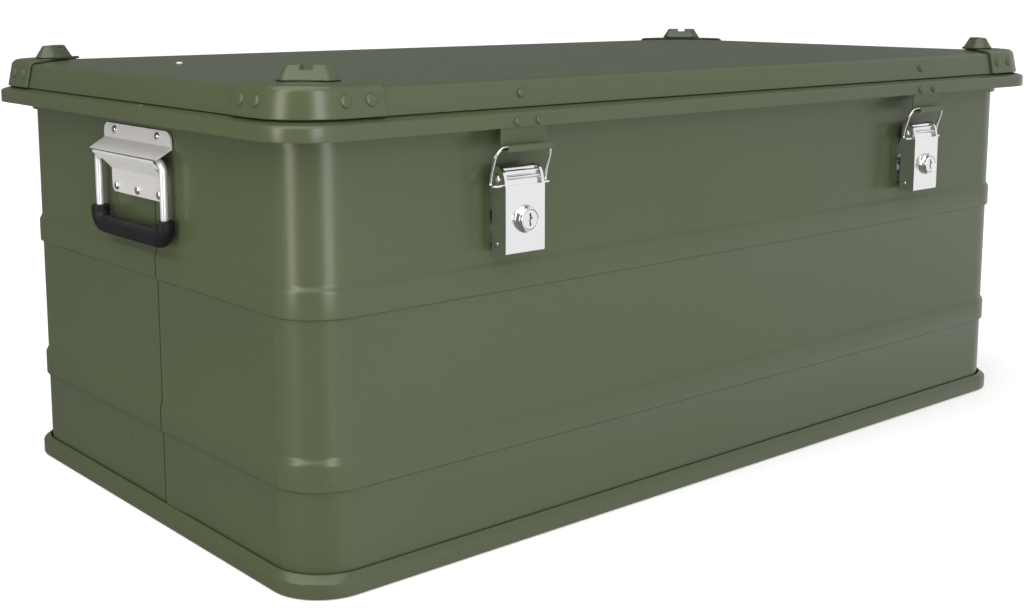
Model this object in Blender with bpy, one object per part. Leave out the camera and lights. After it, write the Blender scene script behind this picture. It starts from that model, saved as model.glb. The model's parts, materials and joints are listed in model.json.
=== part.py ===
"""A painted aluminium footlocker: a beaded case with a hinged, crowned lid, stacking corners, two
lockable draw latches at the front and a drop handle on each end.
Metres, +Z up, the front faces -Y, the floor is Z = 0."""

import math

import bmesh
import bpy
from mathutils import Matrix, Vector

# Driving dimensions
CASE_LENGTH = 0.856
CASE_WIDTH = 0.458
CORNER_RADIUS = 0.042
SHEET = 0.0015
GAP = 0.0003
ARC_STEPS = 8

# Case: heights of the wall, and of the two beads in it (slope top and bottom, step top and bottom)
WALL_BOTTOM = 0.0026
WALL_TOP = 0.3245
BEADS = ((0.2195, 0.2135, 0.1962, 0.1945), (0.0990, 0.0930, 0.0752, 0.0735))
BEAD_DEPTH = 0.0018
SEAM_Y = -0.025
SEAM_STEP = 0.0010
SEAM_RUN = 0.040

# Lid: heights, and how far each edge stands out from the case wall
BAND_BOTTOM = 0.3185
BAND_OUT = 0.0225
LID_WALL_BOTTOM = 0.3325
LID_WALL_OUT = 0.0158
LID_SHOULDER = 0.3490
LID_EDGE = 0.3525
LID_CROWN = 0.0042

# Corner caps and their studs
CAP_LEG = 0.073
CAP_TIP = 0.011
CAP_BOTTOM = 0.3322
CAP_SHEET = 0.0022
STUD_IN = 0.038
STUD_BASE = (0.0215, 0.0108)
STUD_TOP = (0.0155, 0.0055)
STUD_HEIGHT = 0.0098
STUD_SLOT = (0.0042, 0.0032)

# Hinges, at the back
HINGE_X = 0.26
HINGE_OUT = 0.0257
HINGE_Z = 0.3160
HINGE_HALF = 0.035
KNUCKLE_HALF = 0.0168
KNUCKLE_RADIUS = 0.0036
PIN_RADIUS = 0.0020
CLEARANCE = 0.0003

# Latches, at the front
LATCH_X = 0.2525
LEVER_HALF = 0.0187
LEVER_SHEET = 0.0012
LEVER_FRONT = 0.0225
LEVER_BACK = 0.0070
LEVER_BOTTOM = 0.2270
LEVER_SHOULDER = 0.2765
LEVER_PIVOT = (0.0115, 0.2810)
ROLL_RADIUS = 0.0095
ROLL_END = 110
EAR_X = 0.0148
BAIL_PIVOT = (0.0192, 0.2770)
BAIL_BAR = (0.0221, 0.3050)
BAIL_HALF = 0.0262
WIRE_RADIUS = 0.0011
LOCK_Z = 0.2520
LOCK_FLANGE_RADIUS = 0.0103
LOCK_BARREL_RADIUS = 0.0085
LOCK_BORE_RADIUS = 0.0076
PLUG_RADIUS = 0.0073
CATCH_HALF = 0.0215
CATCH_SHEET = 0.0012
CATCH_FACE = 0.0206
TROUGH_BOTTOM = 0.3018
TROUGH_LIP_OUT = 0.0293
TROUGH_LIP_TOP = 0.3068

# Handles, on the ends
HANDLE_AXIS = (0.0080, 0.2890)
BAR_RADIUS = 0.0030
BAR_HALF = 0.055
GRIP_Z = 0.2310
GRIP_TOP = 0.2455
GRIP_RADIUS = 0.0072
PLATE_HALF = 0.0560
LIP_HALF = 0.0505
FLANGE_HALF = 0.0445
RIDGE_OUT = 0.0150
RIVET_RADIUS = 0.0030
RIVET_DOME = 0.0014


def material(name, colour, roughness, metallic):
    made = bpy.data.materials.new(name)
    made.use_nodes = True
    shader = made.node_tree.nodes["Principled BSDF"]
    shader.inputs["Base Color"].default_value = (*colour, 1.0)
    shader.inputs["Roughness"].default_value = roughness
    shader.inputs["Metallic"].default_value = metallic
    made.diffuse_color = (*colour, 1.0)
    return made


def clear_scene():
    for obj in list(bpy.data.objects):
        bpy.data.objects.remove(obj)


def pivot_at(name, x, y, z):
    """An empty on a joint's axis. The pieces that turn on it are its children."""
    empty = bpy.data.objects.new(name, None)
    empty.location = (x, y, z)
    bpy.context.scene.collection.objects.link(empty)
    return empty


def add(name, bm, finish=None, pivot=None):
    """Turns a bmesh in world coordinates into an object, under its pivot if it has one."""
    bmesh.ops.recalc_face_normals(bm, faces=bm.faces)
    if pivot:
        bmesh.ops.translate(bm, verts=bm.verts, vec=-pivot.location)
    mesh = bpy.data.meshes.new(name)
    bm.to_mesh(mesh)
    bm.free()
    mesh.shade_smooth()
    mesh.set_sharp_from_angle(angle=math.radians(35))
    obj = bpy.data.objects.new(name, mesh)
    bpy.context.scene.collection.objects.link(obj)
    obj.parent = pivot
    if finish:
        mesh.materials.append(finish)
    return obj


def cut(obj, bm, operation="DIFFERENCE"):
    """Cuts a bmesh in world coordinates out of an object, or joins it on."""
    tool = add(obj.name + "_tool", bm, pivot=obj.parent)
    tool.hide_render = True
    tool.display_type = "WIRE"
    modifier = obj.modifiers.new("shape", "BOOLEAN")
    modifier.operation = operation
    modifier.object = tool


def bridge(bm, loops, closed=False):
    """Quads between each loop of vertices and the next one."""
    last = len(loops) if closed else len(loops) - 1
    for i in range(last):
        one = loops[i]
        two = loops[(i + 1) % len(loops)]
        for k in range(len(one)):
            m = (k + 1) % len(one)
            bm.faces.new((one[k], one[m], two[m], two[k]))


def outline(out, seam=0.0):
    """The case's rounded plan, moved outward by out. Its corners don't grow as it moves outward.
    seam lifts the wall's front end over its rear end."""
    half_x = CASE_LENGTH / 2 + out
    half_y = CASE_WIDTH / 2 + out
    radius = max(CORNER_RADIUS + min(out, 0.0), 0.003)
    points = []
    for quarter, (sx, sy) in enumerate(((1, 1), (-1, 1), (-1, -1), (1, -1))):
        centre = Vector((sx * (half_x - radius), sy * (half_y - radius)))
        for step in range(ARC_STEPS + 1):
            angle = (quarter + step / ARC_STEPS) * math.pi / 2
            points.append(centre + radius * Vector((math.cos(angle), math.sin(angle))))
        if seam and quarter == 1:
            points.append(Vector((-half_x, SEAM_Y + 0.0004)))
            points.append(Vector((-half_x - seam, SEAM_Y - 0.0004)))
            points.append(Vector((-half_x - seam, SEAM_Y - SEAM_RUN / 2)))
            points.append(Vector((-half_x, SEAM_Y - SEAM_RUN)))
    return points


def ring(name, profile, finish, pivot=None, seam=0.0):
    """A rail folded all round the case. The profile is a closed list of (out, z)."""
    bm = bmesh.new()
    loops = []
    for out, z in profile:
        loops.append([bm.verts.new((p.x, p.y, z)) for p in outline(out, seam)])
    bridge(bm, loops, closed=True)
    return add(name, bm, finish, pivot)


def crown(inward):
    """Height of the lid's top above its edge, this far in from the edge."""
    reach = CASE_WIDTH / 2 + LID_WALL_OUT
    share = min(inward / reach, 1.0)
    return LID_CROWN * (1 - (1 - share) ** 2)


def lid_surface():
    """(out, z) up the lid's wall, round its shoulder and in over its crowned top."""
    points = [(LID_WALL_OUT, LID_WALL_BOTTOM), (LID_WALL_OUT - 0.0034, LID_SHOULDER)]
    centre = LID_WALL_OUT - 0.0034 - 0.0035
    for step in range(1, 4):
        angle = step * math.pi / 6
        points.append((centre + 0.0035 * math.cos(angle), LID_SHOULDER + 0.0035 * math.sin(angle)))
    for inward in (0.030, 0.055, 0.090, 0.140, 0.190, 0.225):
        points.append((LID_WALL_OUT - inward, LID_EDGE + crown(inward)))
    return points


def case_wall(finish):
    outer = [(0.0, WALL_BOTTOM)]
    for slope_top, slope_bottom, step_top, step_bottom in reversed(BEADS):
        outer += [(0.0, step_bottom), (BEAD_DEPTH, step_top), (BEAD_DEPTH, slope_bottom), (0.0, slope_top)]
    outer.append((0.0, WALL_TOP))
    inner = [(out - SHEET, z) for out, z in reversed(outer)]
    ring("case_wall", outer + inner, finish, seam=SEAM_STEP)


def base_rim(finish):
    """The rim round the bottom. It stands clear of the lapped end of the wall, and its foot turns in."""
    leg = GAP + SEAM_STEP
    profile = [(leg, 0.0160), (0.0018, 0.0160), (0.0060, 0.0114), (0.0060, 0.0014), (0.0046, 0.0)]
    profile += [(-0.0140, 0.0), (-0.0140, 0.0020), (leg, 0.0020)]
    ring("base_rim", profile, finish)


def floor_panel(finish):
    """A shallow tray inside the wall, standing on the base rim's foot."""
    edge = -SHEET - 2 * GAP
    profile = [(edge, 0.0260), (edge, 0.0024), (-0.1900, 0.0024)]
    inside = [(-0.1900, 0.0036), (edge - 0.0012, 0.0036), (edge - 0.0012, 0.0260)]
    bm = bmesh.new()
    loops = [[bm.verts.new((p.x, p.y, z)) for p in outline(out)] for out, z in profile]
    others = [[bm.verts.new((p.x, p.y, z)) for p in outline(out)] for out, z in inside]
    bridge(bm, loops)
    bm.faces.new(loops[-1])
    bm.faces.new(others[0])
    bridge(bm, others)
    bridge(bm, [others[-1], loops[0]])
    add("floor_panel", bm, finish)


def case_frame(finish):
    """The rail round the case's mouth: a leg on the wall, the seal's land, and a lip turned down."""
    leg = GAP + SEAM_STEP
    profile = [(leg, 0.3125), (leg, 0.3248), (-0.0035, 0.3248), (-0.0035, 0.3263)]
    profile += [(0.0168, 0.3263), (0.0175, 0.3256), (0.0175, 0.3195), (0.0160, 0.3195)]
    profile += [(0.0160, 0.3248), (leg + SHEET, 0.3248), (leg + SHEET, 0.3125)]
    ring("case_frame", profile, finish)


def lid_panel(finish, pivot):
    outer = lid_surface()
    inner = [(out - SHEET, max(z - SHEET, LID_WALL_BOTTOM)) for out, z in outer]
    inner[1] = (outer[1][0] - SHEET, LID_SHOULDER - 0.0008)
    bm = bmesh.new()
    loops = [[bm.verts.new((p.x, p.y, z)) for p in outline(out)] for out, z in outer]
    others = [[bm.verts.new((p.x, p.y, z)) for p in outline(out)] for out, z in reversed(inner)]
    bridge(bm, loops)
    bm.faces.new(loops[-1])
    bm.faces.new(others[0])
    bridge(bm, others)
    bridge(bm, [others[-1], loops[0]])
    return add("lid_panel", bm, finish, pivot)


def lid_rail(finish, pivot):
    """The band round the lid's edge, its slope and its leg inside the lid's wall, and the web on the seal."""
    outer = [(BAND_OUT, BAND_BOTTOM), (BAND_OUT, 0.3268), (0.0219, 0.3283), (0.0204, 0.3293)]
    outer += [(0.0137, 0.3322), (0.0100, 0.3446)]
    inner = [(0.0085, 0.3446), (0.0104, 0.3388), (-0.0020, 0.3388), (-0.0020, 0.3373)]
    inner += [(0.0108, 0.3373), (0.0122, 0.3312), (0.0192, 0.3281), (0.0210, 0.3262), (0.0210, BAND_BOTTOM)]
    ring("lid_rail", outer + inner, finish, pivot)


def lid_seal(finish, pivot):
    profile = [(0.0010, 0.3266), (0.0080, 0.3266), (0.0094, 0.3290), (0.0086, 0.3370)]
    profile += [(0.0004, 0.3370), (-0.0004, 0.3290)]
    ring("lid_seal", profile, finish, pivot)


def prism(profile, x_from, x_to, place):
    """A solid with this (out, z) profile from x_from to x_to. place makes (x, out, z) a world point."""
    bm = bmesh.new()
    ends = [[bm.verts.new(place(x, out, z)) for out, z in profile] for x in (x_from, x_to)]
    bridge(bm, ends)
    bm.faces.new(ends[0])
    bm.faces.new(ends[1])
    return bm


def disc_points(centre, radius, steps=16, start=0.0, end=360.0):
    """Points round (part of) a circle in the (out, z) plane, from start to end in degrees."""
    whole = abs(end - start) >= 360.0
    last = steps if whole else steps + 1
    turn = (end - start) / steps
    angles = [math.radians(start + turn * i) for i in range(last)]
    return [(centre[0] + radius * math.cos(a), centre[1] + radius * math.sin(a)) for a in angles]


def turned(profile, centre, axis, steps=20):
    """A turned piece: the (radius, along) profile goes round the axis through centre, from end to end."""
    bm = bmesh.new()
    axis = Vector(axis).normalized()
    side = axis.orthogonal().normalized()
    other = axis.cross(side)
    loops = []
    for radius, along in profile:
        loop = []
        for k in range(steps):
            angle = 2 * math.pi * k / steps
            spoke = side * math.cos(angle) + other * math.sin(angle)
            loop.append(bm.verts.new(Vector(centre) + axis * along + spoke * radius))
        loops.append(loop)
    bridge(bm, loops)
    bm.faces.new(loops[0])
    bm.faces.new(loops[-1])
    return bm


def frames_along(points, closed):
    """Each point of a path with two directions square to it, carried along without twist."""
    count = len(points)
    tangents = []
    for i in range(count):
        after = points[(i + 1) % count] if closed or i + 1 < count else points[i]
        before = points[i - 1] if closed or i > 0 else points[i]
        tangents.append((after - before).normalized())
    side = tangents[0].orthogonal().normalized()
    frames = []
    for point, tangent in zip(points, tangents):
        side = (side - tangent * side.dot(tangent)).normalized()
        frames.append((point, side, tangent.cross(side)))
    return frames


def tube_loops(bm, points, radius, sides, closed):
    loops = []
    for point, side, other in frames_along(points, closed):
        loop = []
        for k in range(sides):
            angle = 2 * math.pi * k / sides
            loop.append(bm.verts.new(point + radius * (side * math.cos(angle) + other * math.sin(angle))))
        loops.append(loop)
    return loops


def rounded_path(corners, radii, steps=5):
    """The corners of a path, each rounded with an arc of its radius. The ends keep their places."""
    points = [Vector(corners[0])]
    for before, corner, after, radius in zip(corners, corners[1:], corners[2:], radii):
        corner = Vector(corner)
        back = (Vector(before) - corner).normalized()
        ahead = (Vector(after) - corner).normalized()
        half = back.angle(ahead) / 2
        reach = radius / math.tan(half)
        centre = corner + (back + ahead).normalized() * (radius / math.sin(half))
        start = corner + back * reach - centre
        axis = back.cross(ahead).normalized()
        for step in range(steps + 1):
            turn = Matrix.Rotation(-(math.pi - 2 * half) * step / steps, 3, axis)
            points.append(centre + turn @ start)
    points.append(Vector(corners[-1]))
    return points


def corner_cap(name, sx, sy, finish, pivot):
    """Sheet wrapped round one corner of the lid: a leg along each side, and a flange over the top
    whose inner edge runs straight across the corner."""
    surface = lid_surface()
    half_x = CASE_LENGTH / 2 + LID_WALL_OUT
    half_y = CASE_WIDTH / 2 + LID_WALL_OUT
    path = [(Vector((half_x - CAP_LEG, half_y)), Vector((0, -1)))]
    centre = Vector((half_x - CORNER_RADIUS, half_y - CORNER_RADIUS))
    for step in range(ARC_STEPS + 1):
        angle = math.pi / 2 * (1 - step / ARC_STEPS)
        spoke = Vector((math.cos(angle), math.sin(angle)))
        path.append((centre + CORNER_RADIUS * spoke, -spoke))
    path.append((Vector((half_x, half_y - CAP_LEG)), Vector((-1, 0))))
    # The flange's inner edge is a straight line, shared out by length along the path
    ends = (Vector((half_x - CAP_LEG, half_y - CAP_TIP)), Vector((half_x - CAP_TIP, half_y - CAP_LEG)))
    runs = [0.0]
    for (one, _), (two, _) in zip(path, path[1:]):
        runs.append(runs[-1] + (two - one).length)
    lift = GAP
    bm = bmesh.new()
    columns = []
    for (point, inward), run in zip(path, runs):
        inner = ends[0].lerp(ends[1], run / runs[-1])
        column = [point.copy()]
        heights = [CAP_BOTTOM]
        for out, z in surface[1:5]:
            column.append(point + inward * (LID_WALL_OUT - out))
            heights.append(z)
        shoulder = point + inward * 0.0069
        for share in (0.4, 0.7, 1.0):
            spot = shoulder.lerp(inner, share)
            column.append(spot)
            heights.append(LID_EDGE + crown(min(half_x - spot.x, half_y - spot.y)))
        columns.append([bm.verts.new((p.x, p.y, z)) for p, z in zip(column, heights)])
    for one, two in zip(columns, columns[1:]):
        for k in range(len(one) - 1):
            bm.faces.new((one[k], one[k + 1], two[k + 1], two[k]))
    bmesh.ops.recalc_face_normals(bm, faces=bm.faces)
    if sum(face.normal.z for face in bm.faces) < 0:
        bmesh.ops.reverse_faces(bm, faces=bm.faces)
    base = {}
    for vert in bm.verts:
        base[vert] = vert.co + vert.normal * lift
    for vert, place in base.items():
        vert.co = place
    bm.normal_update()
    outside = {vert: bm.verts.new(vert.co + vert.normal * CAP_SHEET) for vert in list(bm.verts)}
    border = [edge for edge in bm.edges if edge.is_boundary]
    for face in list(bm.faces):
        bm.faces.new([outside[vert] for vert in face.verts])
    for edge in border:
        a, b = edge.verts
        bm.faces.new((a, b, outside[b], outside[a]))
    bmesh.ops.scale(bm, vec=(sx, sy, 1), verts=bm.verts)
    add(name, bm, finish, pivot)


def stacking_stud(name, sx, sy, finish, pivot):
    """A slotted, round-ended stud that stands across the corner on its cap."""
    half_x = CASE_LENGTH / 2 + LID_WALL_OUT
    half_y = CASE_WIDTH / 2 + LID_WALL_OUT
    centre = Vector((sx * (half_x - STUD_IN), sy * (half_y - STUD_IN)))
    across = Vector((sx, -sy)).normalized()
    along = Vector((sx, sy)).normalized()
    foot = LID_EDGE + crown(STUD_IN * 1.25) + GAP + CAP_SHEET + GAP
    bm = bmesh.new()
    loops = []
    for (wide, deep), z in ((STUD_BASE, foot), (STUD_TOP, foot + STUD_HEIGHT)):
        loop = []
        for sign in (1, -1):
            for step in range(7):
                angle = math.pi * (step / 6 - 0.5)
                u = sign * (wide - deep + deep * math.cos(angle))
                v = sign * deep * math.sin(angle)
                spot = centre + across * u + along * v
                loop.append(bm.verts.new((spot.x, spot.y, z)))
        loops.append(loop)
    bridge(bm, loops)
    bm.faces.new(loops[0])
    bm.faces.new(loops[1])
    stud = add(name, bm, finish, pivot)
    half_slot, depth = STUD_SLOT
    slot = bmesh.new()
    bmesh.ops.create_cube(slot, size=1)
    bmesh.ops.scale(slot, vec=(2 * half_slot, 4 * STUD_BASE[1], 2 * depth), verts=slot.verts)
    turn = Matrix.Rotation(math.atan2(across.y, across.x), 3, "Z")
    bmesh.ops.rotate(slot, cent=(0, 0, 0), matrix=turn, verts=slot.verts)
    bmesh.ops.translate(slot, vec=(centre.x, centre.y, foot + STUD_HEIGHT), verts=slot.verts)
    cut(stud, slot)


def hinge(side, x_centre, finish, steel, pivot):
    """One butt hinge: the case's leaf with two knuckles, the lid's leaf with one, and the pin."""

    def place(x, out, z):
        return Vector((x_centre + x, CASE_WIDTH / 2 + out, z))

    axis = (HINGE_OUT, HINGE_Z)
    web = 0.3098
    reach = HINGE_OUT + KNUCKLE_RADIUS
    leaf_profile = [(GAP, 0.2860), (GAP + SHEET, 0.2860), (GAP + SHEET, web)]
    leaf_profile += [(reach, web), (reach, web + SHEET), (GAP, web + SHEET)]
    case_leaf = add(f"hinge_case_leaf_{side}", prism(leaf_profile, -HINGE_HALF, HINGE_HALF, place), finish)
    edge = KNUCKLE_HALF + GAP * 2
    for x_from, x_to in ((-HINGE_HALF, -edge), (edge, HINGE_HALF)):
        riser = [(HINGE_OUT - 0.0012, web + 0.0003), (HINGE_OUT + KNUCKLE_RADIUS, web + 0.0003)]
        riser += disc_points(axis, KNUCKLE_RADIUS, 12, 0, 225)
        cut(case_leaf, prism(riser, x_from, x_to, place), "UNION")
    low, high = HINGE_Z + 0.0045, 0.3272
    flat = [(0.0228, low), (0.0243, low), (0.0243, high), (0.0228, high)]
    leaf_bm = prism(flat, -HINGE_HALF, HINGE_HALF, place)
    lid_leaf = add(f"hinge_lid_leaf_{side}", leaf_bm, finish, pivot)
    neck = [(0.0229, HINGE_Z + 0.0070), (0.0243, HINGE_Z + 0.0070)]
    neck += disc_points(axis, KNUCKLE_RADIUS, 16, 50, -225)
    cut(lid_leaf, prism(neck, -KNUCKLE_HALF, KNUCKLE_HALF, place), "UNION")
    bore = disc_points(axis, PIN_RADIUS + CLEARANCE, 16)
    cut(case_leaf, prism(bore, -HINGE_HALF - 0.01, HINGE_HALF + 0.01, place))
    cut(lid_leaf, prism(bore, -HINGE_HALF - 0.01, HINGE_HALF + 0.01, place))
    pin = turned([(PIN_RADIUS, -HINGE_HALF), (PIN_RADIUS, HINGE_HALF)], place(0, *axis), (1, 0, 0), 16)
    add(f"hinge_pin_{side}", pin, steel)


def latch_base(side, place, finish):
    """The plate on the case wall, and the two ears that hold the lever's pin."""
    plate = [(GAP, 0.2330), (GAP + SHEET, 0.2330), (GAP + SHEET, 0.2760), (GAP, 0.2760)]
    base = add(f"latch_base_{side}", prism(plate, -0.0163, 0.0163, place), finish)
    ear = [(GAP + 0.0004, 0.2560), (GAP + 0.0004, 0.2660)] + disc_points(LEVER_PIVOT, 0.0045, 12, 200, -60)
    for x_from, x_to in ((-EAR_X - SHEET, -EAR_X), (EAR_X, EAR_X + SHEET)):
        cut(base, prism(ear, x_from, x_to, place), "UNION")
    bore = disc_points(LEVER_PIVOT, PIN_RADIUS + CLEARANCE, 16)
    cut(base, prism(bore, -0.03, 0.03, place))


def latch_lever(side, place, finish, pivot):
    """A drawn cover with a rolled top that turns on the pin, bored for the lock and the bail's ends."""
    roll = disc_points(LEVER_PIVOT, ROLL_RADIUS, 10, 0, ROLL_END)
    outer = [(LEVER_BACK, LEVER_BOTTOM), (LEVER_FRONT - 0.0015, LEVER_BOTTOM)]
    outer += [(LEVER_FRONT, LEVER_BOTTOM + 0.0015), (LEVER_FRONT, LEVER_SHOULDER), *roll]
    outer += [(LEVER_BACK, LEVER_PIVOT[1])]
    lever = add(f"latch_lever_{side}", prism(outer, -LEVER_HALF, LEVER_HALF, place), finish, pivot)
    inside = disc_points(LEVER_PIVOT, ROLL_RADIUS - LEVER_SHEET, 10, -10, ROLL_END + 20)
    front = LEVER_FRONT - LEVER_SHEET
    hollow = [(-0.001, LEVER_BOTTOM + LEVER_SHEET), (front, LEVER_BOTTOM + LEVER_SHEET)]
    hollow += [(front, LEVER_SHOULDER - 0.0010), *inside, (-0.001, LEVER_PIVOT[1] + 0.004)]
    room = LEVER_HALF - LEVER_SHEET
    cut(lever, prism(hollow, -room, room, place))
    cut(lever, prism(disc_points(LEVER_PIVOT, PIN_RADIUS + CLEARANCE, 16), -0.03, 0.03, place))
    cut(lever, prism(disc_points(BAIL_PIVOT, WIRE_RADIUS + CLEARANCE, 12), -0.03, 0.03, place))
    hole = LOCK_BARREL_RADIUS + CLEARANCE
    cut(lever, turned([(hole, 0.015), (hole, 0.030)], place(0, 0, LOCK_Z), (0, -1, 0), 24))


def latch_pin(side, place, finish):
    head = PIN_RADIUS + 0.0013
    near = LEVER_HALF + CLEARANCE
    far = near + 0.0012
    profile = [(head - 0.0004, -far), (head, -far + 0.0004), (head, -near), (PIN_RADIUS, -near)]
    profile += [(radius, -along) for radius, along in reversed(profile)]
    add(f"latch_pin_{side}", turned(profile, place(0, *LEVER_PIVOT), (1, 0, 0), 16), finish)


def latch_bail(side, place, finish, pivot):
    """The wire loop: its ends turn in through the lever's sides, and its top bar lies in the trough."""
    end = LEVER_HALF - LEVER_SHEET - 0.0012
    half = [(end, *BAIL_PIVOT), (BAIL_HALF, *BAIL_PIVOT), (BAIL_HALF, 0.0140, 0.2766)]
    half += [(BAIL_HALF, 0.0155, 0.2860), (BAIL_HALF, *BAIL_BAR)]
    corners = half + [(-x, out, z) for x, out, z in reversed(half)]
    radii = [0.0022, 0.0022, 0.0030, 0.0070, 0.0070, 0.0030, 0.0022, 0.0022]
    path = rounded_path([place(*c) for c in corners], radii)
    path = drop_repeats(path)
    bm = bmesh.new()
    loops = tube_loops(bm, path, WIRE_RADIUS, 10, closed=False)
    bridge(bm, loops)
    bm.faces.new(loops[0])
    bm.faces.new(loops[-1])
    add(f"latch_bail_{side}", bm, finish, pivot)


def drop_repeats(points):
    """The same path without points that lie on the one before."""
    kept = [points[0]]
    for point in points[1:]:
        if (point - kept[-1]).length > 0.0002:
            kept.append(point)
    return kept


def lock_housing(side, place, finish, pivot):
    face = LEVER_FRONT + GAP
    profile = [(LOCK_BARREL_RADIUS, 0.0120), (LOCK_BARREL_RADIUS, face), (LOCK_FLANGE_RADIUS, face)]
    profile += [(LOCK_FLANGE_RADIUS, face + 0.0008), (LOCK_FLANGE_RADIUS - 0.0005, face + 0.0013)]
    profile += [(LOCK_BARREL_RADIUS, face + 0.0030), (LOCK_BARREL_RADIUS, face + 0.0050)]
    profile += [(LOCK_BARREL_RADIUS - 0.0004, face + 0.0054)]
    centre = place(0, 0, LOCK_Z)
    housing = add(f"lock_housing_{side}", turned(profile, centre, (0, -1, 0), 28), finish, pivot)
    bore = turned([(LOCK_BORE_RADIUS, 0.005), (LOCK_BORE_RADIUS, 0.035)], centre, (0, -1, 0), 28)
    cut(housing, bore)


def lock_plug(side, place, finish, pivot):
    """The turning core, with a keyway in its face and a cam behind."""
    profile = [(0.0035, 0.0062), (0.0035, 0.0122), (PLUG_RADIUS, 0.0122), (PLUG_RADIUS, 0.0273)]
    profile += [(PLUG_RADIUS - 0.0005, 0.0278)]
    plug = add(f"lock_plug_{side}", turned(profile, place(0, 0, LOCK_Z), (0, -1, 0), 28), finish, pivot)
    low, high = LOCK_Z - 0.0140, LOCK_Z + 0.0020
    cam = [(0.0066, low), (0.0086, low), (0.0086, high), (0.0066, high)]
    cut(plug, prism(cam, -0.0030, 0.0030, place), "UNION")
    low, high = LOCK_Z - 0.0045, LOCK_Z + 0.0045
    keyway = [(0.0170, low), (0.0300, low), (0.0300, high), (0.0170, high)]
    cut(plug, prism(keyway, -0.0009, 0.0009, place))


def catch_plate(side, place, finish, pivot):
    """A plate riveted behind the lid's band, with the trough that the bail's bar lies in."""
    back = CATCH_FACE - CATCH_SHEET
    floor = TROUGH_BOTTOM + CATCH_SHEET
    inner_lip = TROUGH_LIP_OUT - CATCH_SHEET
    profile = [(CATCH_FACE, 0.3240), (CATCH_FACE, floor + 0.0008), (CATCH_FACE + 0.0008, floor)]
    profile += [(inner_lip - 0.0010, floor), (inner_lip, floor + 0.0010), (inner_lip, TROUGH_LIP_TOP)]
    profile += [(TROUGH_LIP_OUT, TROUGH_LIP_TOP), (TROUGH_LIP_OUT, TROUGH_BOTTOM + 0.0022)]
    profile += [(TROUGH_LIP_OUT - 0.0022, TROUGH_BOTTOM), (back + 0.0020, TROUGH_BOTTOM)]
    profile += [(back, TROUGH_BOTTOM + 0.0020), (back, 0.3240)]
    add(f"catch_plate_{side}", prism(profile, -CATCH_HALF, CATCH_HALF, place), finish, pivot)


def latch(side, x_centre, finishes, lid_pivot):
    def place(x, out, z):
        return Vector((x_centre + x, -CASE_WIDTH / 2 - out, z))

    lever_pivot = pivot_at(f"lever_axis_{side}", *place(0, *LEVER_PIVOT))
    bail_pivot = pivot_at(f"bail_axis_{side}", *place(0, *BAIL_PIVOT))
    plug_pivot = pivot_at(f"plug_axis_{side}", *place(0, LEVER_FRONT, LOCK_Z))
    latch_base(side, place, finishes["steel"])
    latch_pin(side, place, finishes["steel"])
    latch_lever(side, place, finishes["steel"], lever_pivot)
    latch_bail(side, place, finishes["wire"], bail_pivot)
    lock_housing(side, place, finishes["steel"], lever_pivot)
    lock_plug(side, place, finishes["wire"], plug_pivot)
    catch_plate(side, place, finishes["paint"], lid_pivot)


def sheet_shape(half, z_from, z_to, out, thickness, place, corner=0.0, low=False):
    """A flat plate on the end wall, its two upper (or lower) corners rounded."""
    points = []
    edge, other = (z_from, z_to) if low else (z_to, z_from)
    inward = 1 if low else -1
    for sign in (1, -1):
        arc = []
        for step in range(5):
            angle = math.pi / 2 * step / 4
            across = half - corner + corner * math.cos(angle)
            arc.append((sign * across, edge + inward * corner * (1 - math.sin(angle))))
        points += arc if sign == 1 else reversed(arc)
    points += [(-half, other), (half, other)]
    bm = bmesh.new()
    faces = [[bm.verts.new(place(y, o, z)) for y, z in points] for o in (out, out + thickness)]
    bridge(bm, faces)
    bm.faces.new(faces[0])
    bm.faces.new(faces[1])
    return bm


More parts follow.
